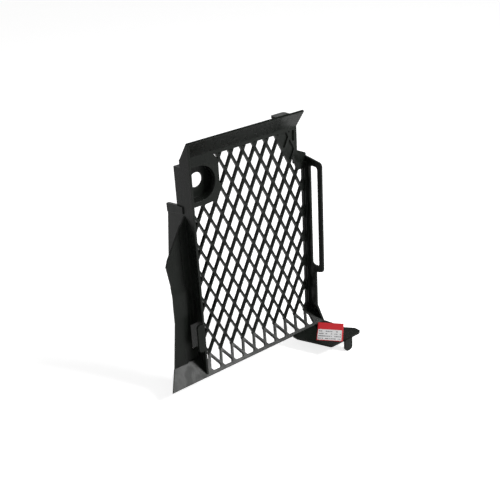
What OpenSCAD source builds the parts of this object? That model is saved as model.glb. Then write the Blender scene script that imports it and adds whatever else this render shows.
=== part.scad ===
// Oil cooler guard for a motorcycle: one moulded black plastic tray with a diamond grille.
// X runs to the right, -Y is the front and +Z is up. The origin is on the axis of the
// bolt hole, where it leaves the floor of the bolt pocket.

/* [Panel] */
// Width over the two side walls
panel_w = 136.5; // [128:0.5:150]
// Width of the panel above the shoulder
narrow_w = 125.5; // [118:0.5:127]
// Height from the foot of the lip to the bend of the flare
panel_h = 188; // [175:1:205]
// Thickness of the grille
panel_t = 3; // [2.5:0.1:4]
// Thickness of the walls, the lip and the wing
wall_t = 2; // [1.6:0.1:2.6]
// How far the walls and the lip stand forward of the grille
tray_d = 11; // [9:0.5:13]
// Distance from the foot of the lip down to the top of the shoulder
shoulder_drop = 23; // [18:0.5:28]
// Height of the sloping shoulder
shoulder_h = 10; // [8:0.5:12]

/* [Grille] */
// Width of one diamond of the pattern
cell_w = 13; // [11:0.25:15]
// Height of one diamond of the pattern
cell_h = 25.8; // [22:0.2:29]
// Width of a strut between two diamonds
strut_w = 1.8; // [1.5:0.1:2.4]
// Corner radius of the openings
hole_r = 1.1; // [0.7:0.1:1.4]
// Distance from the left wall to a column of diamonds
column_x = 71; // [66:0.5:76]
// Solid border beside the side walls
border_w = 2.7; // [2:0.1:5]
// Solid border along the lower edge of the flare
border_low = 3.4; // [3:0.1:5]
// Depth of the blind diamonds in the closed corner
blind_d = 1.4; // [0.8:0.1:1.8]

/* [Bolt pocket] */
// Diameter of the bolt hole
bolt_d = 13.5; // [10:0.5:15]
// Distance from the left wall to the bolt axis
bolt_x = 20; // [18.5:0.5:22]
// Distance from the foot of the lip down to the bolt axis
bolt_drop = 24.7; // [23:0.1:27]
// Radius of the pocket
pocket_r = 15.3; // [13:0.1:16]
// Depth of the pocket
pocket_d = 10; // [7:0.5:13]
// How far the middle of the pocket lies to the left of the bolt
pocket_left = 2.3; // [0:0.1:3]
// Solid land between the pocket and the openings
pocket_land = 4.3; // [3:0.1:6]

/* [Lip and tongue] */
// Height of the sloping lip
lip_h = 15.4; // [12:0.2:18]
// Distance from the left wall to the tongue behind the lip
tongue_x = 102; // [96:0.5:106]
// Width of the tongue
tongue_w = 16; // [12:0.5:18]
// Height of the top of the tongue above the foot of the lip
tongue_h = 13; // [11:0.5:14]
// How far the tongue reaches back
tongue_d = 8; // [6:0.5:10]

/* [Flare] */
// Length of the flare along its slope
flare_len = 18.7; // [17:0.1:22]
// Slope of the flare, forward of vertical
flare_angle = 42; // [36:1:46]
// How far each side of the flare spreads past the right wall
flare_spread = 8; // [5:0.5:10]

/* [Slotted loop] */
// How far the loop stands forward of the grille
loop_d = 21; // [19:0.5:24]
// Length of the loop
loop_l = 110; // [100:1:118]
// Width of the slot
slot_w = 10; // [8:0.5:11]
// Length of the slot
slot_l = 100; // [90:1:104]
// Width of the bar in front of the slot
bar_w = 5; // [4:0.5:6]
// Radius of the corners of the slot
slot_r = 2.4; // [1:0.1:3]

/* [Wing] */
// Reach of the wing at the fold
wing_w = 20.5; // [17:0.5:24]
// Reach of the wing at the widest point of its upper corner
wing_top_w = 22.5; // [19:0.5:25]
// Reach of the wing at the bend of the flare
wing_bend_w = 25.6; // [22:0.5:29]
// Reach of the wing at the lower edge of the flare
wing_tip_w = 38; // [32:0.5:44]
// Height of the upper corner of the wing above the bend
wing_corner_h = 97.5; // [92:0.5:104]
// Height of the fold above the bend
fold_h = 78.5; // [72:0.5:84]
// How far the wing steps back above the fold
fold_step = 2.5; // [1:0.1:3]
// How far the strip beside the left wall lies behind the wing
strip_step = 1.4; // [0.8:0.1:1.6]

/* [Rear wall] */
// Reach of the rear wall behind the grille face
rear_d = 34.5; // [28:0.5:40]
// Reach of its upper corner
rear_top_d = 27; // [22:0.5:30]
// Height of the thicker band along its top
band_h = 8; // [5:0.5:10]

/* [Lug] */
// Width of the lug outside the left wall
lug_w = 5.6; // [4.5:0.1:7]
// Height of the lug
lug_h = 27; // [22:0.5:32]
// Height of the foot of the lug above the bend
lug_z = 12.5; // [9:0.5:16]

/* [Bracket] */
// Reach of the bracket in front of the flare
bracket_d = 39; // [34:0.5:44]
// Distance from the left wall to the bracket
bracket_x = 102; // [96:0.5:106]
// Width of the front edge of the bracket
bracket_w = 39; // [34:0.5:44]
// Width of the hook under the front edge
hook_w = 9; // [7:0.5:11]
// How far the hook hangs down
hook_h = 12.5; // [10:0.5:15]

/* [Hidden] */

arc_fn = 48;
arc_step = 42;
least_edge = 0.3;
least_area = 6;
join = 0.5;
through = 1;

x_left = -bolt_x;
x_right = x_left + panel_w;
x_narrow = x_left + narrow_w;
z_top = bolt_drop;
z_bend = z_top - panel_h;
z_shoulder = z_top - shoulder_drop;
z_loop = z_shoulder - shoulder_h;
y_face = -pocket_d;
y_back = y_face + panel_t;
y_front = y_face - tray_d;
y_loop = y_face - loop_d;

// Where the flare ends, and where the walls have run out on its slope
flare_end_y = y_face - flare_len * sin(flare_angle);
flare_end_z = z_bend - flare_len * cos(flare_angle);
mitre = panel_t * tan(flare_angle / 2);

// The right wall starts to lean outward just above the bend
lean_above = 7;
z_lean = z_bend + lean_above;
lean = atan(flare_spread / (z_lean - flare_end_z));

function lean_x(z) = x_right + (z_lean - z) * tan(lean);
function turn(points) = [for (i = [len(points) - 1 : -1 : 0]) points[i]];
function shift(points, step) = [for (p = points) p + step];
function sheet(path, step) = concat(path, turn(shift(path, step)));

// A flat shape in X and Z, set back from the face of the grille and given a thickness
module upright(t, back = 0) {
    translate([0, y_face + back + t, 0]) rotate([90, 0, 0]) linear_extrude(t) children();
}

// A flat shape in Y and Z, from x over a width
module profile(x, w) {
    translate([x, 0, 0]) rotate([90, 0, 90]) linear_extrude(w) children();
}

// Turns what is drawn upright below the bend into the slope of the flare
module on_flare() {
    translate([0, y_face, z_bend]) rotate([-flare_angle, 0, 0])
        translate([0, -y_face, -z_bend]) children();
}

// Everything behind the middle of the flare's thickness
module behind_flare() {
    span = panel_w * 2;
    on_flare() translate([x_left - span / 4, y_face + panel_t / 2, z_bend - span / 2])
        cube([span, span / 2, span]);
}

// Outlines are lists of points that run anticlockwise
function unit(v) = v / norm(v);
function area(p) = let (n = len(p))
    n < 3 ? 0 : [for (i = [0 : n - 1]) cross(p[i], p[(i + 1) % n])] * [for (i = [1 : n]) 1] / 2;

// The part of a convex outline where n * point is at least d
function clip(p, n, d) = [
    for (i = [0 : 1 : len(p) - 1])
        let (a = p[i], b = p[(i + 1) % len(p)], da = n * a - d, db = n * b - d)
            each concat(da >= 0 ? [a] : [], da * db < 0 ? [a + (b - a) * da / (da - db)] : [])
];

function clean(p) = [
    for (i = [0 : 1 : len(p) - 1]) if (norm(p[i] - p[(i + 1) % len(p)]) > least_edge) p[i]
];

// The arc that rounds the corner b between a and c
function fillet(a, b, c, r) =
    let (
        u = unit(a - b), v = unit(c - b), half = acos(u * v) / 2,
        t = min(r / tan(half), 0.48 * norm(a - b), 0.48 * norm(c - b)),
        centre = b + unit(u + v) * t / cos(half),
        start = b + u * t - centre,
        turned = sign(cross(b - a, c - b)) * (180 - 2 * half),
        steps = max(1, round(abs(turned) / arc_step))
    )
    [for (i = [0 : steps]) centre + rotated(start, turned * i / steps)];
function rotated(p, a) = [p[0] * cos(a) - p[1] * sin(a), p[0] * sin(a) + p[1] * cos(a)];
function rounded(p, r) = [
    for (i = [0 : len(p) - 1]) each fillet(p[(i + len(p) - 1) % len(p)], p[i], p[(i + 1) % len(p)], r)
];

// One diamond, smaller than its cell by half a strut all round
diamond_reach = (cell_w * cell_h / 4) / norm([cell_w, cell_h] / 2);
diamond_open = 1 - strut_w / 2 / diamond_reach;
function diamond(c) = [
    for (corner = [[1, 0], [0, 1], [-1, 0], [0, -1]])
        c + diamond_open / 2 * [corner[0] * cell_w, corner[1] * cell_h]
];

// The lattice has its crossings on the bend and runs on, unbroken, down the flare
lattice_x = x_left + column_x;
columns = ceil(panel_w / cell_w);
rows = ceil(panel_h / cell_h);
centres = [
    for (i = [-columns : columns], j = [-1 : rows], odd = [0, 0.5])
        let (c = [lattice_x + (i + odd) * cell_w, z_bend + (j + odd) * cell_h])
            if (c[0] > x_left && c[0] < x_right && c[1] < z_top + cell_h / 2) c
];

grille_left = x_left + wall_t + border_w;
grille_right = x_right - wall_t - border_w;
grille_top = z_top - border_w / 3;

// Each opening beside the pocket is cut off square to the line from the land to its middle
land_corner = 13;
land_r = pocket_r + pocket_land;
function land_point(c) = [
    min(c[0], land_r - pocket_left - land_corner),
    min(max(c[1], land_corner - land_r), z_top - land_corner)
];
function clear_of_land(p, c) =
    let (k = land_point(c), n = unit(c - k + [0.001, 0])) clip(p, n, n * k + land_corner);

// The corner beside the shoulder stays closed, and the openings under it are cut off short
closed_x = lattice_x + 2.75 * cell_w;
closed_z = z_bend + 6.05 * cell_h;
step_x = lattice_x + 4.25 * cell_w;
step_z = z_bend + 5.67 * cell_h;
function in_closed(c) = c[0] > closed_x && c[1] > closed_z;
function under_closed(p, c) =
    c[0] > step_x ? clip(p, [0, -1], -step_z)
    : c[0] > closed_x + cell_w ?
        let (n = unit([-cell_h, -cell_w / 2])) clip(p, n, n * [step_x - cell_w * 0.32, step_z + cell_h / 2])
    : p;

function inside(p, inset, low, high) =
    clip(clip(clip(clip(
        p, [1, 0], grille_left + inset), [-1, 0], inset - grille_right), [0, 1], low), [0, -1], -high);

function grille_holes() = [
    for (c = centres) if (!in_closed(c))
        under_closed(clear_of_land(inside(diamond(c), 0, z_bend - cell_h, grille_top), c), c)
];
function blind_holes() = [
    for (c = centres) if (in_closed(c))
        clip(clip(diamond(c), [0, -1], -grille_top), [-1, 0], -(x_narrow - wall_t - border_w / 2))
];
function flare_holes() = [
    for (c = centres)
        let (low = c[0] < grille_left + cell_w / 2 ? z_bend - cell_h / 7 : z_bend - flare_len + border_low)
            if (c[1] < z_bend + cell_h / 4) inside(diamond(c), join / 2, low, z_bend + cell_h)
];

module openings(holes) {
    for (p = [for (h = holes) clean(h)])
        if (area(p) > least_area) polygon(rounded(p, hole_r));
}

module pocket_outline(r, left) {
    intersection() {
        union() {
            translate([-pocket_left, 0]) circle(r, $fn = arc_fn);
            translate([left - r, -r]) square([r - left - pocket_left, 2 * r]);
        }
        translate([left, -2 * r]) square([4 * r, 4 * r]);
    }
}

module grille_panel() {
    difference() {
        upright(panel_t) difference() {
            polygon([
                [x_left, z_top], [x_left, z_bend - mitre], [lean_x(z_bend) - join, z_bend - mitre],
                [lean_x(z_bend) - join, z_bend], [x_right, z_lean], [x_right, z_loop],
                [x_narrow, z_loop], [x_narrow, z_top]
            ]);
            openings(grille_holes());
            pocket_outline(pocket_r, x_left + wall_t);
        }
        upright(blind_d + through, -through) openings(blind_holes());
    }
}

module flare_panel() {
    on_flare() upright(panel_t) difference() {
        polygon([
            [x_left + join, z_bend + mitre], [x_left + join, z_bend - flare_len],
            [lean_x(flare_end_z) - join, z_bend - flare_len], [lean_x(z_bend) - join, z_bend + mitre]
        ]);
        openings(flare_holes());
    }
}

module bolt_pocket() {
    depth = pocket_d + wall_t;
    difference() {
        upright(depth) pocket_outline(pocket_r + wall_t, x_left);
        upright(pocket_d + through, -through) pocket_outline(pocket_r, x_left + wall_t);
        rotate([-90, 0, 0]) cylinder(d = bolt_d, h = 4 * wall_t, center = true, $fn = arc_fn);
    }
}

// Section of the lip, from its foot on the panel to its free edge
lip_run = norm([tray_d, lip_h]);
lip_off = wall_t * [lip_h, tray_d] / lip_run;
lip_foot = [y_face, z_top];
lip_edge = [y_front, z_top + lip_h];
lip_back = [y_back, z_top + lip_off[1] - (panel_t - lip_off[0]) * lip_h / tray_d];

module lip() {
    profile(x_left, narrow_w) polygon([
        lip_foot, lip_edge, lip_edge + lip_off, lip_back, [y_back, z_top - panel_t], [y_face, z_top - panel_t]
    ]);
}

module tongue() {
    top = z_top + tongue_h;
    corner = tongue_d / 3;
    x0 = x_left + tongue_x;
    translate([0, 0, top - wall_t]) linear_extrude(wall_t) union() {
        translate([x0, y_face]) square([tongue_w, tongue_d - corner]);
        translate([x0 + corner, y_face]) square([tongue_w - 2 * corner, tongue_d]);
        for (x = [x0 + corner, x0 + tongue_w - corner])
            translate([x, y_face + tongue_d - corner]) circle(corner, $fn = arc_fn);
    }
    translate([x0, y_face, z_top - panel_t]) cube([tongue_w, wall_t, top - z_top + panel_t]);
}

module left_wall() {
    difference() {
        profile(x_left, wall_t) polygon([
            lip_back, lip_edge + lip_off, lip_edge, [y_front, flare_end_z],
            [y_back, flare_end_z]
        ]);
        behind_flare();
        upright(pocket_d, panel_t) pocket_outline(pocket_r, x_left);
    }
}

module loop_outline() {
    corner = bar_w * 0.7;
    z_end = z_loop - loop_l;
    polygon(concat(
        [[y_back, z_loop + shoulder_h / 4], [y_face, z_loop + shoulder_h / 4]],
        fillet([y_front, z_loop], [y_loop, z_loop], [y_loop, z_end], corner),
        fillet([y_loop, z_loop], [y_loop, z_end], [y_front, z_end], corner),
        [[y_front, z_end - wall_t], [y_front, z_lean - join], [y_back, z_lean - join]]
    ));
}

module slot_outline() {
    y0 = y_loop + bar_w;
    z0 = z_loop - (loop_l + slot_l) / 2;
    polygon(rounded([
        [y0, z0], [y0 + slot_w, z0], [y0 + slot_w, z0 + slot_l], [y0, z0 + slot_l]
    ], slot_r));
}

module right_wall() {
    profile(x_right - wall_t, wall_t) difference() {
        loop_outline();
        slot_outline();
    }
    profile(x_right - 2 * wall_t, wall_t + join)
        polygon([
            [y_back, z_loop], [y_face - wall_t, z_loop - wall_t],
            [y_face - wall_t, z_lean], [y_back, z_lean - panel_t]
        ]);
    difference() {
        translate([x_right, 0, z_lean]) rotate([0, -lean, 0])
            profile(-wall_t, wall_t) polygon([
                [y_front, 0], [y_back, 0], [y_back, -2 * flare_len], [y_front, -2 * flare_len]
            ]);
        behind_flare();
    }
}

// The top of the right wall meets the narrow part of the panel in a sloping shoulder
module shoulder() {
    rise = shoulder_h + panel_t;
    intersection() {
        profile(x_narrow - wall_t, x_right - x_narrow + wall_t) polygon([
            [y_face, z_loop - panel_t], [y_face, z_loop], [y_back, z_loop + rise],
            [y_back + wall_t, z_loop + rise], [y_back + wall_t, z_loop - panel_t]
        ]);
        upright(4 * panel_t, -panel_t) polygon([
            [x_narrow - wall_t, z_loop - panel_t], [x_narrow - wall_t, z_shoulder],
            [x_narrow, z_shoulder], [x_right, z_shoulder - shoulder_h / 2], [x_right, z_loop - panel_t]
        ]);
    }
}

// Section of the wing above the bend: a flat face, a rounded swell at the fold and a flat face
function swell(a) = fold_step * (1 + cos(a)) / 2 - wall_t * pow(sin(a), 2) / 3;
fold_run = 18;
wing_mitre = wall_t * tan(flare_angle / 2);
wing_path = concat(
    [[y_face, z_bend - wing_mitre]],
    [for (a = [180 : -20 : 0]) [y_face + swell(a), z_bend + fold_h - fold_run * a / 180]],
    [[y_face + fold_step, z_top]]
);

module wing() {
    z_fold = z_bend + fold_h;
    z_corner = z_bend + wing_corner_h;
    z_peak = z_top - 2 * bolt_drop + wall_t;
    strip_top = 4.5;
    strip_low = 11.5;
    root = x_left + wall_t / 2;
    slot_z = z_bend + lug_z - wall_t;
    difference() {
        union() {
            intersection() {
                profile(x_left - panel_w / 2, panel_w / 2 + wall_t) polygon(sheet(wing_path, [wall_t, 0]));
                upright(tray_d, -tray_d / 2) polygon([
                    [x_left - strip_top, z_peak - 2 * strip_top],
                    [x_left - wing_top_w + 2, z_corner + 6], [x_left - wing_top_w, z_corner],
                    [x_left - wing_top_w + 1, z_corner - 6], [x_left - wing_w + 1, z_fold],
                    [x_left - wing_w, z_fold - fold_run], [x_left - wing_w, z_fold - 2 * fold_run],
                    [x_left - wing_bend_w, z_bend], [x_left - wing_bend_w, z_bend - wing_mitre],
                    [x_left - strip_low, z_bend - wing_mitre], [x_left - strip_top, z_fold]
                ]);
            }
            upright(wall_t, strip_step) polygon([
                [root, z_peak], [x_left - strip_top, z_peak - 2 * strip_top],
                [x_left - strip_top - wall_t, z_peak - 4 * strip_top],
                [x_left - strip_top - wall_t, z_fold], [x_left - strip_low - wall_t, z_bend - wing_mitre],
                [root, z_bend - wing_mitre]
            ]);
            on_flare() upright(wall_t) polygon([
                [root, z_bend + wing_mitre], [x_left - wing_bend_w - join, z_bend + wing_mitre],
                [x_left - wing_tip_w, z_bend - flare_len],
                [root, z_bend - flare_len]
            ]);
        }
        upright(tray_d, -tray_d / 2) translate([x_left - lug_w + wall_t / 2, slot_z])
            square([lug_w - wall_t / 2, lug_h - wall_t]);
    }
}

// The wall behind the grille that closes the side of the cooler
module rear_wall() {
    y_rear = y_face + rear_d;
    y_corner = y_face + rear_top_d;
    z_start = -pocket_r - wall_t;
    profile(x_left, wall_t) polygon([
        [y_face + join, z_start + wall_t], [wall_t, z_start], [y_corner, z_start - wall_t],
        [y_corner, z_start - band_h], [y_rear, z_bend + fold_h + band_h], [y_rear, z_bend + fold_h / 2],
        [y_back, z_bend + lug_z], [y_face + join, z_bend + lug_z]
    ]);
    profile(x_left - wall_t / 2, wall_t) polygon([
        [y_back, z_start + join], [wall_t, z_start], [y_corner, z_start - wall_t],
        [y_corner, z_start - wall_t - band_h], [y_back, z_start - band_h + wall_t]
    ]);
}

module lug() {
    z0 = z_bend + lug_z;
    corner = lug_w / 2;
    translate([0, y_front + wall_t, 0]) rotate([90, 0, 0]) linear_extrude(wall_t) union() {
        translate([x_left - lug_w + corner, z0]) square([lug_w - corner + wall_t, lug_h]);
        translate([x_left - lug_w, z0 + corner]) square([lug_w, lug_h - 2 * corner]);
        for (z = [z0 + corner, z0 + lug_h - corner])
            translate([x_left - lug_w + corner, z]) circle(corner, $fn = arc_fn);
    }
}

module bracket() {
    x0 = x_left + bracket_x;
    x1 = x0 + 13;
    x2 = x1 + bracket_w;
    y0 = flare_end_y;
    y1 = y0 - bracket_d;
    x_end = lean_x(flare_end_z);
    translate([0, 0, flare_end_z + join - wall_t]) linear_extrude(wall_t) polygon([
        [x0, y0 + join], [x0, y0 - 6], [x0 + 8, y0 - 0.65 * bracket_d], [x1, y1 + 1], [x1 + 1.5, y1],
        [x2 - 1.5, y1], [x2 + 1, y1 + 2], [x2 + 1, y1 + 8.5], [x_end + 4, y1 + 0.42 * bracket_d],
        [x_end + 1.5, y0 - 7], [x_end, y0], [x_end, y0 + join]
    ]);
    hook(x1 + 0.55 * bracket_w, y1);
}

module hook(x, y) {
    corner = hook_w / 2.4;
    translate([0, y + join, 0]) rotate([90, 0, 0]) linear_extrude(wall_t + join) union() {
        translate([x - hook_w / 2, flare_end_z - hook_h + corner]) square([hook_w, hook_h - corner]);
        translate([x - hook_w / 2 + corner, flare_end_z - hook_h]) square([hook_w - 2 * corner, hook_h]);
        for (side = [-1, 1])
            translate([x + side * (hook_w / 2 - corner), flare_end_z - hook_h + corner])
                circle(corner, $fn = arc_fn);
    }
}

module guard() {
    color([0.09, 0.095, 0.09]) union() {
        grille_panel();
        flare_panel();
        bolt_pocket();
        lip();
        tongue();
        left_wall();
        right_wall();
        shoulder();
        wing();
        rear_wall();
        lug();
        bracket();
    }
}

guard();
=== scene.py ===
import math

import bmesh
import bpy
from mathutils import Matrix, Vector


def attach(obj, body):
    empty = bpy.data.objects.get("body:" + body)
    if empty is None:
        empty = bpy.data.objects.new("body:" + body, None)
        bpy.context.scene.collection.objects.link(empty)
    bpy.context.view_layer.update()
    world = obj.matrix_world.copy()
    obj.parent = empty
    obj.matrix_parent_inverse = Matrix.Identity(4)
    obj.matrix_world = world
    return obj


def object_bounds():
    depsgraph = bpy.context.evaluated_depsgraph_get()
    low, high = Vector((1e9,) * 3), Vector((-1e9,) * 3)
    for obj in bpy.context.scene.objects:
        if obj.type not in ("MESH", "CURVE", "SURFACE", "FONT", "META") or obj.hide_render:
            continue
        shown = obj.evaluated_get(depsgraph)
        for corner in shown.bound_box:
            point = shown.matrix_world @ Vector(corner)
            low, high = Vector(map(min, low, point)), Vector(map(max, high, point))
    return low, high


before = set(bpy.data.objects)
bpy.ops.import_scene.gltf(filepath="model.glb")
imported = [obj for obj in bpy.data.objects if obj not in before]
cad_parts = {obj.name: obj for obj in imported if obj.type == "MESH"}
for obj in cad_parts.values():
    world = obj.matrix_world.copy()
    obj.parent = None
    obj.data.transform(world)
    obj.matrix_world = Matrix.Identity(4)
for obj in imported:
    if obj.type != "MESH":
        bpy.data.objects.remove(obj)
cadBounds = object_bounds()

mm = 0.001
print("frame loaded")


def addNode(tree, kind, at, **settings):
    node = tree.nodes.new(kind)
    node.location = at
    for name, value in settings.items():
        setattr(node, name, value)
    return node


def setInputs(node, values):
    for name, value in values.items():
        node.inputs[name].default_value = value


# another node's output is linked to the socket, and a plain value is written into it
def feed(tree, socket, value):
    if isinstance(value, bpy.types.NodeSocket):
        tree.links.new(value, socket)
    else:
        socket.default_value = value


def mathNode(tree, operation, at, *values):
    node = addNode(tree, "ShaderNodeMath", at, operation=operation)
    for socket, value in zip(node.inputs, values):
        feed(tree, socket, value)
    return node.outputs[0]


def noiseNode(tree, at, vector, scale, detail):
    node = addNode(tree, "ShaderNodeTexNoise", at)
    for name, value in (("Vector", vector), ("Scale", scale), ("Detail", detail)):
        feed(tree, node.inputs[name], value)
    return node.outputs["Fac"]


def rangeNode(tree, at, value, source, target):
    node = addNode(tree, "ShaderNodeMapRange", at, interpolation_type="SMOOTHSTEP")
    setInputs(node, {"From Min": source[0], "From Max": source[1],
                     "To Min": target[0], "To Max": target[1]})
    tree.links.new(value, node.inputs["Value"])
    return node.outputs["Result"]


def mixColour(tree, at, factor, a, b):
    node = addNode(tree, "ShaderNodeMix", at, data_type="RGBA")
    for index, value in ((0, factor), (6, a), (7, b)):  # its colour sockets are 6 and 7
        feed(tree, node.inputs[index], value)
    return node.outputs[2]


def bumpNode(tree, at, height, strength, distance, **settings):
    node = addNode(tree, "ShaderNodeBump", at, **settings)
    setInputs(node, {"Strength": strength, "Distance": distance})
    tree.links.new(height, node.inputs["Height"])
    return node


def emptyMaterial(name):
    material = bpy.data.materials.new(name)
    material.use_nodes = True
    material.node_tree.nodes.clear()
    return material, material.node_tree


def newMaterial(name):
    material, tree = emptyMaterial(name)
    output = addNode(tree, "ShaderNodeOutputMaterial", (900, 0))
    shader = addNode(tree, "ShaderNodeBsdfPrincipled", (600, 0))
    tree.links.new(shader.outputs["BSDF"], output.inputs["Surface"])
    return material, tree, shader


def newGroup(name, inputs, outputs):
    group = bpy.data.node_groups.new(name, "ShaderNodeTree")
    for way, sockets in (("INPUT", inputs), ("OUTPUT", outputs)):
        for title, kind in sockets.items():
            group.interface.new_socket(title, in_out=way, socket_type="NodeSocket" + kind)
    given = addNode(group, "NodeGroupInput", (-900, 0))
    return group, given, addNode(group, "NodeGroupOutput", (900, 0))


def placeGroup(tree, group, at, position, values):
    node = addNode(tree, "ShaderNodeGroup", at, node_tree=group)
    setInputs(node, values)
    tree.links.new(position, node.inputs["Position"])
    return node


def addObject(name, data):
    made = bpy.data.objects.new(name, data)
    bpy.context.collection.objects.link(made)
    return made


# pairs are the levels of a noise, from 0 to 1, between which it fades in
grainPattern = {
    "pits": (0.35, 0.62),
    "coarseScale": 0.37,  # against the scale of the pits
    "coarseHeight": 0.6,
    "drift": (0.3, 0.7),
    "streaks": (0.42, 0.66),
    "streakScale": 160.0,
    "streakSqueeze": (1.0, 1.0, 0.12),  # draws the streaks out along Z
}


# fine pitting, slow colour drift and long flow streaks of an injection moulding
def buildGrain(s):
    group, given, out = newGroup(
        "moulded grain",
        {"Position": "Vector", "Grain Scale": "Float", "Drift Scale": "Float"},
        {"Height": "Float", "Drift": "Float", "Streaks": "Float"})
    links = group.links
    position, grainScale = given.outputs["Position"], given.outputs["Grain Scale"]
    pits = noiseNode(group, (-600, 300), position, grainScale, detail=2.0)
    pits = rangeNode(group, (-380, 300), pits, s["pits"], (0.0, 1.0))
    coarseScale = mathNode(group, "MULTIPLY", (-800, 120), grainScale, s["coarseScale"])
    coarse = noiseNode(group, (-600, 120), position, coarseScale, detail=1.0)
    coarse = mathNode(group, "MULTIPLY", (-380, 120), coarse, s["coarseHeight"])
    links.new(mathNode(group, "ADD", (-160, 220), pits, coarse), out.inputs["Height"])
    drift = noiseNode(group, (-600, -80), position, given.outputs["Drift Scale"], detail=3.0)
    drift = rangeNode(group, (-160, -80), drift, s["drift"], (0.0, 1.0))
    links.new(drift, out.inputs["Drift"])
    squeezed = addNode(group, "ShaderNodeMapping", (-800, -300))
    squeezed.inputs["Scale"].default_value = s["streakSqueeze"]
    links.new(position, squeezed.inputs["Vector"])
    streaks = noiseNode(
        group, (-600, -300), squeezed.outputs["Vector"], s["streakScale"], detail=2.0)
    streaks = rangeNode(group, (-160, -300), streaks, s["streaks"], (0.0, 1.0))
    links.new(streaks, out.inputs["Streaks"])
    return group


wearPattern = {
    "samples": 6,
    "edge": (0.7, 0.99),  # how well the rounded normal agrees with the flat one
    "patches": (0.38, 0.62),
    "leastWear": 0.35,
}


# rounds every edge in the shading and marks where it has been rubbed
def buildEdgeWear(s):
    group, given, out = newGroup(
        "edge wear",
        {"Position": "Vector", "Radius": "Float", "Patch Scale": "Float"},
        {"Mask": "Float", "Normal": "Vector"})
    links = group.links
    bevel = addNode(group, "ShaderNodeBevel", (-600, 200), samples=s["samples"])
    links.new(given.outputs["Radius"], bevel.inputs["Radius"])
    geometry = addNode(group, "ShaderNodeNewGeometry", (-600, 0))
    dot = addNode(group, "ShaderNodeVectorMath", (-380, 100), operation="DOT_PRODUCT")
    links.new(bevel.outputs["Normal"], dot.inputs[0])
    links.new(geometry.outputs["Normal"], dot.inputs[1])
    edge = rangeNode(group, (-160, 100), dot.outputs["Value"], s["edge"], (1.0, 0.0))
    patches = noiseNode(
        group, (-600, -220), given.outputs["Position"], given.outputs["Patch Scale"], detail=3.0)
    patches = rangeNode(group, (-160, -220), patches, s["patches"], (s["leastWear"], 1.0))
    links.new(mathNode(group, "MULTIPLY", (200, 0), edge, patches), out.inputs["Mask"])
    links.new(bevel.outputs["Normal"], out.inputs["Normal"])
    return group


# the thin ring that an ejector pin leaves on a moulded face, round an axis along Y
def buildPinMark():
    group, given, out = newGroup(
        "pin mark",
        {"Position": "Vector", "Middle": "Vector", "Radius": "Float", "Line": "Float",
         "Reach": "Float"},
        {"Ring": "Float"})
    links = group.links
    away = addNode(group, "ShaderNodeVectorMath", (-700, 100), operation="SUBTRACT")
    links.new(given.outputs["Position"], away.inputs[0])
    links.new(given.outputs["Middle"], away.inputs[1])
    parts = addNode(group, "ShaderNodeSeparateXYZ", (-520, 100))
    links.new(away.outputs["Vector"], parts.inputs["Vector"])
    flat = addNode(group, "ShaderNodeCombineXYZ", (-340, 160))
    links.new(parts.outputs["X"], flat.inputs["X"])
    links.new(parts.outputs["Z"], flat.inputs["Z"])
    distance = addNode(group, "ShaderNodeVectorMath", (-160, 160), operation="LENGTH")
    links.new(flat.outputs["Vector"], distance.inputs[0])
    fromRing = mathNode(
        group, "SUBTRACT", (0, 160), distance.outputs["Value"], given.outputs["Radius"])
    fromRing = mathNode(group, "ABSOLUTE", (160, 160), fromRing)
    onRing = mathNode(group, "LESS_THAN", (320, 160), fromRing, given.outputs["Line"])
    depth = mathNode(group, "ABSOLUTE", (-160, -60), parts.outputs["Y"])
    onFace = mathNode(group, "LESS_THAN", (0, -60), depth, given.outputs["Reach"])
    links.new(mathNode(group, "MULTIPLY", (520, 60), onRing, onFace), out.inputs["Ring"])
    return group


grainGroup = buildGrain(grainPattern)
edgeGroup = buildEdgeWear(wearPattern)
pinGroup = buildPinMark()

guardFinish = {
    "dark": (0.0062, 0.0076, 0.0063, 1),
    "pale": (0.0100, 0.0118, 0.0101, 1),
    "rubbed": (0.024, 0.026, 0.024, 1),
    "roughness": 0.23,
    "streakRoughness": 0.07,  # the most that the streaks add
    "driftRoughness": 0.049,
    "specular": 0.08,
    "driftScale": 18.0,
    "grainScale": 1900.0,
    "grainDepth": 0.018 * mm,
    "grainStrength": 0.8,
    "edgeRadius": 0.45 * mm,
    "patchScale": 300.0,
    "pinMiddle": (-26.5 * mm, -7.5 * mm, -52.0 * mm),  # on the front of the wing
    "pinRadius": 3.6 * mm,
    "pinLine": 0.35 * mm,  # half the width of the ring's line
    "pinReach": 3.0 * mm,
    "pinDepth": 0.25 * mm,
}


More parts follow.
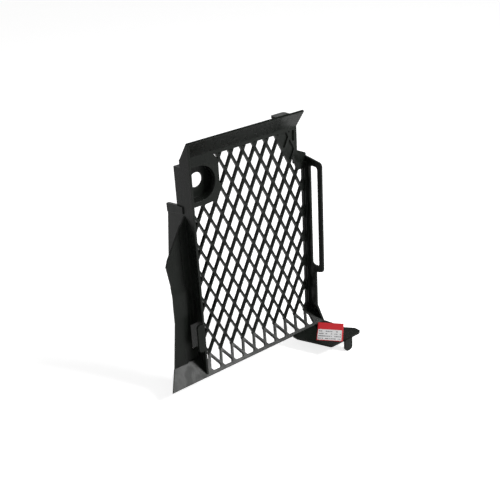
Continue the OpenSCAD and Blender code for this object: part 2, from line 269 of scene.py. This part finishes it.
def buildGuardPlastic(s):
    material, tree, shader = newMaterial("satin black plastic")
    links = tree.links
    position = addNode(tree, "ShaderNodeTexCoord", (-1200, 0)).outputs["Object"]
    grain = placeGroup(tree, grainGroup, (-900, 200), position, {
        "Grain Scale": s["grainScale"], "Drift Scale": s["driftScale"]})
    edge = placeGroup(tree, edgeGroup, (-900, -200), position, {
        "Radius": s["edgeRadius"], "Patch Scale": s["patchScale"]})
    pin = placeGroup(tree, pinGroup, (-500, -450), position, {
        "Middle": s["pinMiddle"], "Radius": s["pinRadius"], "Line": s["pinLine"],
        "Reach": s["pinReach"]})
    drift, streaks = grain.outputs["Drift"], grain.outputs["Streaks"]
    colour = mixColour(tree, (-500, 300), drift, s["dark"], s["pale"])
    colour = mixColour(tree, (-250, 300), edge.outputs["Mask"], colour, s["rubbed"])
    links.new(colour, shader.inputs["Base Color"])
    streaks = mathNode(tree, "MULTIPLY", (-500, 40), streaks, s["streakRoughness"])
    drift = mathNode(tree, "MULTIPLY", (-500, -80), drift, s["driftRoughness"])
    rough = mathNode(tree, "ADD", (-300, 0), streaks, drift)
    rough = mathNode(tree, "ADD", (-100, 0), rough, s["roughness"])
    links.new(rough, shader.inputs["Roughness"])
    shader.inputs["Specular IOR Level"].default_value = s["specular"]
    ring = bumpNode(
        tree, (-100, -450), pin.outputs["Ring"], strength=1.0, distance=s["pinDepth"], invert=True)
    grainBump = bumpNode(
        tree, (100, -250), grain.outputs["Height"], s["grainStrength"], s["grainDepth"])
    links.new(edge.outputs["Normal"], ring.inputs["Normal"])
    links.new(ring.outputs["Normal"], grainBump.inputs["Normal"])
    links.new(grainBump.outputs["Normal"], shader.inputs["Normal"])
    return material


guardPlastic = buildGuardPlastic(guardFinish)
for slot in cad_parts["guard"].material_slots:
    slot.material = guardPlastic

wallFoot = {
    "outerFace": -20.0 * mm,
    "thickness": 2.0 * mm,
    "shy": 0.02 * mm,  # keeps its faces just under those of the guard
    "outline": (  # Y and Z, mm
        (-9.5, -150.5), (-9.5, -156.8), (-2.0, -156.8),
        (24.2, -124.4), (24.2, -123.0), (-7.0, -150.5)),
}


# the lowest part of the rear wall, which shows through the slot behind the lug
def buildWallFoot(s, material):
    mesh = bpy.data.meshes.new("rear_wall_foot")
    bm = bmesh.new()
    near = s["outerFace"] + s["shy"]
    far = s["outerFace"] + s["thickness"] - s["shy"]
    face = bm.faces.new([bm.verts.new((near, y * mm, z * mm)) for y, z in s["outline"]])
    pushed = bmesh.ops.extrude_face_region(bm, geom=[face])["geom"]
    moved = [item for item in pushed if isinstance(item, bmesh.types.BMVert)]
    bmesh.ops.translate(bm, verts=moved, vec=(far - near, 0, 0))
    bmesh.ops.recalc_face_normals(bm, faces=bm.faces)
    bm.to_mesh(mesh)
    bm.free()
    mesh.materials.append(material)
    foot = addObject("rear_wall_foot", mesh)
    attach(foot, "root")


buildWallFoot(wallFoot, guardPlastic)
print("guard finished")

label = {
    "corner": (112.9 * mm, -24.1 * mm),  # the upper left corner, on the bracket
    "across": (15.9 * mm, -19.6 * mm),
    "along": (-20.6 * mm, -19.7 * mm),
    "plateTop": -176.7 * mm,
    "gap": 0.05 * mm,  # from the plate up to the paper
    "thickness": 0.14 * mm,
    "cells": 28,
    "curlHeight": 3.0 * mm,
    "curlShare": 0.45,  # the part of its length that has come off the plate
    "bandShare": 0.30,  # the red band along its head
    "rim": 0.035,
    "farRim": 0.056,  # the rim on the right
    "raggedness": 0.02,  # of the edges between red and white
    "red": (0.58, 0.020, 0.028, 1),
    "redFibre": (0.46, 0.016, 0.022, 1),
    "white": (0.74, 0.75, 0.76, 1),
    "whiteFibre": (0.62, 0.62, 0.61, 1),
    "fibreScale": 1400.0,
    "fibreLevels": (0.3, 0.7),
    "fibreStrength": 0.5,
    "fibreDepth": 0.02 * mm,
    "roughness": (0.42, 0.58),
}


# u runs across the label and v along it, each from 0 to 1
def labelPoint(s, u, v, lift):
    curl = max(0.0, 1 - v / s["curlShare"])
    spot = Vector(s["corner"]) + Vector(s["across"]) * u + Vector(s["along"]) * v
    height = s["plateTop"] + s["gap"] + lift + s["curlHeight"] * curl * curl
    return Vector((spot.x, spot.y, height))


def buildLabelPaper(s):
    material, tree, shader = newMaterial("printed paper")
    links = tree.links
    coords = addNode(tree, "ShaderNodeTexCoord", (-1200, 0))
    parts = addNode(tree, "ShaderNodeSeparateXYZ", (-1000, 0))
    links.new(coords.outputs["UV"], parts.inputs["Vector"])
    fibre = noiseNode(
        tree, (-1000, -300), coords.outputs["Object"], s["fibreScale"], detail=4.0)
    ragged = mathNode(tree, "SUBTRACT", (-800, -300), fibre, 0.5)
    ragged = mathNode(tree, "MULTIPLY", (-600, -300), ragged, s["raggedness"])
    row = mathNode(tree, "ADD", (-800, 0), parts.outputs["Y"], ragged)
    column = mathNode(tree, "ADD", (-800, 150), parts.outputs["X"], ragged)
    panel = 1.0
    for index, (value, operation, edge) in enumerate((
            (row, "GREATER_THAN", s["bandShare"]), (row, "LESS_THAN", 1 - s["rim"]),
            (column, "GREATER_THAN", s["rim"]), (column, "LESS_THAN", 1 - s["farRim"]))):
        level = 200 - 150 * index
        inside = mathNode(tree, operation, (-600, level), value, edge)
        panel = mathNode(tree, "MULTIPLY", (-500 + 60 * index, level), inside, panel)
    white = mixColour(tree, (-400, -450), fibre, s["white"], s["whiteFibre"])
    red = mixColour(tree, (-400, 450), fibre, s["red"], s["redFibre"])
    links.new(mixColour(tree, (-100, 100), panel, red, white), shader.inputs["Base Color"])
    rough = rangeNode(tree, (-150, -300), fibre, s["fibreLevels"], s["roughness"])
    links.new(rough, shader.inputs["Roughness"])
    bump = bumpNode(tree, (100, -400), fibre, s["fibreStrength"], s["fibreDepth"])
    links.new(bump.outputs["Normal"], shader.inputs["Normal"])
    return material


def buildLabelSheet(s):
    mesh = bpy.data.meshes.new("label_sheet")
    bm = bmesh.new()
    cells = s["cells"]
    uvLayer = bm.loops.layers.uv.new("labelMap")
    steps = range(cells + 1)
    grid = [[bm.verts.new(labelPoint(s, i / cells, j / cells, 0.0)) for j in steps] for i in steps]
    for i in range(cells):
        for j in range(cells):
            corners = ((i, j), (i, j + 1), (i + 1, j + 1), (i + 1, j))
            face = bm.faces.new([grid[a][b] for a, b in corners])
            face.smooth = True
            for loop, (a, b) in zip(face.loops, corners):
                loop[uvLayer].uv = (a / cells, b / cells)
    bmesh.ops.recalc_face_normals(bm, faces=bm.faces)
    if sum(face.normal.z for face in bm.faces) < 0:
        bmesh.ops.reverse_faces(bm, faces=bm.faces)
    bm.to_mesh(mesh)
    bm.free()
    mesh.materials.append(buildLabelPaper(s))
    sheet = addObject("label_sheet", mesh)
    wall = sheet.modifiers.new("thickness", "SOLIDIFY")
    wall.thickness, wall.offset = s["thickness"], 1.0
    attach(sheet, "root")


labelPrint = {
    "rows": 4,
    "columns": 13,
    "field": (0.80, 0.47),  # shares of the label, across and along it
    "fieldMiddle": (0.49, 0.64),
    "barHeight": 0.060,
    "shortest": 0.025,
    "longest": 0.075,
    "share": 0.70,  # of the bars that are printed
    "seed": 11,
    "gap": 0.02 * mm,  # from the paper up to the print
    "ink": (0.07, 0.07, 0.08, 1),
    "roughness": 0.5,
    "speckleScale": 2600.0,
    "speckles": (0.45, 0.7),
    "fading": 0.5,
}


def buildLabelInk(s, paper):
    material, tree, shader = newMaterial("grey print")
    coords = addNode(tree, "ShaderNodeTexCoord", (-1000, 0))
    speckles = noiseNode(
        tree, (-700, 0), coords.outputs["Object"], s["speckleScale"], detail=3.0)
    worn = rangeNode(tree, (-450, 0), speckles, s["speckles"], (0.0, s["fading"]))
    colour = mixColour(tree, (-150, 0), worn, s["ink"], paper)
    tree.links.new(colour, shader.inputs["Base Color"])
    shader.inputs["Roughness"].default_value = s["roughness"]
    return material


# rows of plain printed bars on the unit square of the label
def buildPrintTree(material):
    tree = bpy.data.node_groups.new("label print", "GeometryNodeTree")
    floats = ("Field Width", "Field Height", "Bar Height", "Shortest", "Longest", "Share")
    for name, kind in (
            ("Geometry", "Geometry"), ("Rows", "Int"), ("Columns", "Int"),
            *((title, "Float") for title in floats), ("Seed", "Int")):
        tree.interface.new_socket(name, in_out="INPUT", socket_type="NodeSocket" + kind)
    tree.interface.new_socket("Geometry", in_out="OUTPUT", socket_type="NodeSocketGeometry")
    given = addNode(tree, "NodeGroupInput", (-800, 0))
    out = addNode(tree, "NodeGroupOutput", (800, 0))
    field = addNode(tree, "GeometryNodeMeshGrid", (-500, 200))
    bar = addNode(tree, "GeometryNodeMeshGrid", (-500, -200))
    setInputs(bar, {"Size X": 1.0, "Size Y": 1.0, "Vertices X": 2, "Vertices Y": 2})
    width = addNode(tree, "FunctionNodeRandomValue", (-500, -450), data_type="FLOAT")
    kept = addNode(tree, "FunctionNodeRandomValue", (-500, -650), data_type="BOOLEAN")
    scale = addNode(tree, "ShaderNodeCombineXYZ", (-250, -300))
    copies = addNode(tree, "GeometryNodeInstanceOnPoints", (0, 0))
    solid = addNode(tree, "GeometryNodeRealizeInstances", (250, 0))
    paint = addNode(tree, "GeometryNodeSetMaterial", (500, 0))
    paint.inputs["Material"].default_value = material
    for a, b in (
        (given.outputs["Field Width"], field.inputs["Size X"]),
        (given.outputs["Field Height"], field.inputs["Size Y"]),
        (given.outputs["Columns"], field.inputs["Vertices X"]),
        (given.outputs["Rows"], field.inputs["Vertices Y"]),
        (given.outputs["Shortest"], width.inputs[2]),  # 2 and 3 are its least and most
        (given.outputs["Longest"], width.inputs[3]),
        (given.outputs["Seed"], width.inputs["Seed"]),
        (given.outputs["Share"], kept.inputs["Probability"]),
        (given.outputs["Seed"], kept.inputs["Seed"]),
        (kept.outputs[3], copies.inputs["Selection"]),
        (width.outputs[1], scale.inputs["X"]),
        (given.outputs["Bar Height"], scale.inputs["Y"]),
        (field.outputs["Mesh"], copies.inputs["Points"]),
        (bar.outputs["Mesh"], copies.inputs["Instance"]),
        (scale.outputs["Vector"], copies.inputs["Scale"]),
        (copies.outputs["Instances"], solid.inputs["Geometry"]),
        (solid.outputs["Geometry"], paint.inputs["Geometry"]),
        (paint.outputs["Geometry"], out.inputs["Geometry"]),
    ):
        tree.links.new(a, b)
    return tree


def buildLabelPrint(s, place):
    tree = buildPrintTree(buildLabelInk(s, place["white"]))
    holder = addObject("label_print", bpy.data.meshes.new("label_print"))
    modifier = holder.modifiers.new("print", "NODES")
    modifier.node_group = tree
    values = {
        "Rows": s["rows"], "Columns": s["columns"], "Field Width": s["field"][0],
        "Field Height": s["field"][1], "Bar Height": s["barHeight"], "Shortest": s["shortest"],
        "Longest": s["longest"], "Share": s["share"], "Seed": s["seed"],
    }
    for item in tree.interface.items_tree:
        if item.in_out == "INPUT" and item.name in values:
            modifier[item.identifier] = values[item.name]
    evaluated = holder.evaluated_get(bpy.context.evaluated_depsgraph_get())
    mesh = bpy.data.meshes.new_from_object(evaluated)
    holder.modifiers.remove(modifier)
    middleU, middleV = s["fieldMiddle"]
    lift = place["thickness"] + s["gap"]
    for vertex in mesh.vertices:
        vertex.co = labelPoint(place, vertex.co.x + middleU, vertex.co.y + middleV, lift)
    if mesh.polygons[0].normal.z < 0:
        mesh.flip_normals()
    holder.data = mesh
    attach(holder, "root")


buildLabelSheet(label)
buildLabelPrint(labelPrint, label)
print("label finished")

studio = {
    "backdrop": ((5.0, 0.0), (6.5, 0.2), (7.5, 0.9), (8.0, 4.0)),  # radius and height, m
    "backdropSides": 64,
    "floorColour": (0.80, 0.80, 0.80, 1),
    "floorGlow": 0.78,
    "worldLight": 0.22,
    "aim": (0.048, -0.02, -0.075),
    "key": {"from": (0.438, -0.667, 0.603), "distance": 1.17, "size": 0.34, "power": 15.0},
    "fill": {"from": (-0.35, -0.85, 0.55), "distance": 1.6, "size": 1.2, "power": 1.5},
}

# the photograph's own viewpoint, from the fitted lattice of the grille
photoCamera = {
    "place": (-0.3906, -0.5773, 0.2569),
    "right": (0.77628, -0.62811, -0.05365),
    "up": (0.30442, 0.29898, 0.90440),
    "lens": 63.07,
    "sensor": 36.0,
}


def buildCamera(s):
    right, up = Vector(s["right"]), Vector(s["up"])
    lens = bpy.data.cameras.new("camera")
    lens.lens, lens.sensor_width = s["lens"], s["sensor"]
    camera = addObject("camera", lens)
    turn = Matrix((right, up, right.cross(up))).transposed().to_4x4()
    camera.matrix_world = Matrix.Translation(s["place"]) @ turn
    bpy.context.scene.camera = camera


# a strength that only the camera, gloss and glass see, so it casts no light on the guard
def seenStrength(tree, strength):
    rays = addNode(tree, "ShaderNodeLightPath", (-900, -100)).outputs
    seen = mathNode(tree, "MAXIMUM", (-700, -60), rays["Is Camera Ray"], rays["Is Glossy Ray"])
    seen = mathNode(tree, "MAXIMUM", (-500, -60), seen, rays["Is Transmission Ray"])
    return mathNode(tree, "MULTIPLY", (-300, -60), seen, strength)


# a round floor whose far rim bends up into a backdrop
def buildFloor(s, height):
    mesh = bpy.data.meshes.new("floor")
    sides = s["backdropSides"]
    turns = [math.tau * i / sides for i in range(sides)]
    points = [(radius * math.cos(turn), radius * math.sin(turn), height + rise)
              for radius, rise in s["backdrop"] for turn in turns]
    faces = [list(range(sides))]
    for low in range(0, len(points) - sides, sides):
        for i in range(sides):
            after = (i + 1) % sides
            faces.append([low + i, low + sides + i, low + sides + after, low + after])
    mesh.from_pydata(points, [], faces)
    material, tree = emptyMaterial("studio floor")
    output = addNode(tree, "ShaderNodeOutputMaterial", (600, 0))
    both = addNode(tree, "ShaderNodeAddShader", (400, 0))
    diffuse = addNode(tree, "ShaderNodeBsdfDiffuse", (100, 100))
    diffuse.inputs["Color"].default_value = s["floorColour"]
    glow = addNode(tree, "ShaderNodeEmission", (100, -100))
    tree.links.new(seenStrength(tree, s["floorGlow"]), glow.inputs["Strength"])
    tree.links.new(diffuse.outputs[0], both.inputs[0])
    tree.links.new(glow.outputs[0], both.inputs[1])
    tree.links.new(both.outputs[0], output.inputs["Surface"])
    mesh.materials.append(material)
    addObject("floor", mesh)


def buildWorld(s):
    world = bpy.data.worlds.new("studio")
    world.use_nodes = True
    background = world.node_tree.nodes["Background"]
    setInputs(background, {"Color": (1, 1, 1, 1), "Strength": s["worldLight"]})
    bpy.context.scene.world = world


def addSoftbox(name, aim, s):
    lamp = bpy.data.lights.new(name, "AREA")
    lamp.shape, lamp.size, lamp.energy = "SQUARE", s["size"], s["power"]
    box = addObject(name, lamp)
    box.location = aim + Vector(s["from"]).normalized() * s["distance"]
    box.rotation_mode = "QUATERNION"
    box.rotation_quaternion = (aim - box.location).to_track_quat("-Z", "Y")


buildCamera(photoCamera)
buildFloor(studio, cadBounds[0][2])
buildWorld(studio)
for name in ("key", "fill"):
    addSoftbox(name, Vector(studio["aim"]), studio[name])
bpy.context.scene.view_settings.view_transform = "Standard"
print("studio finished")
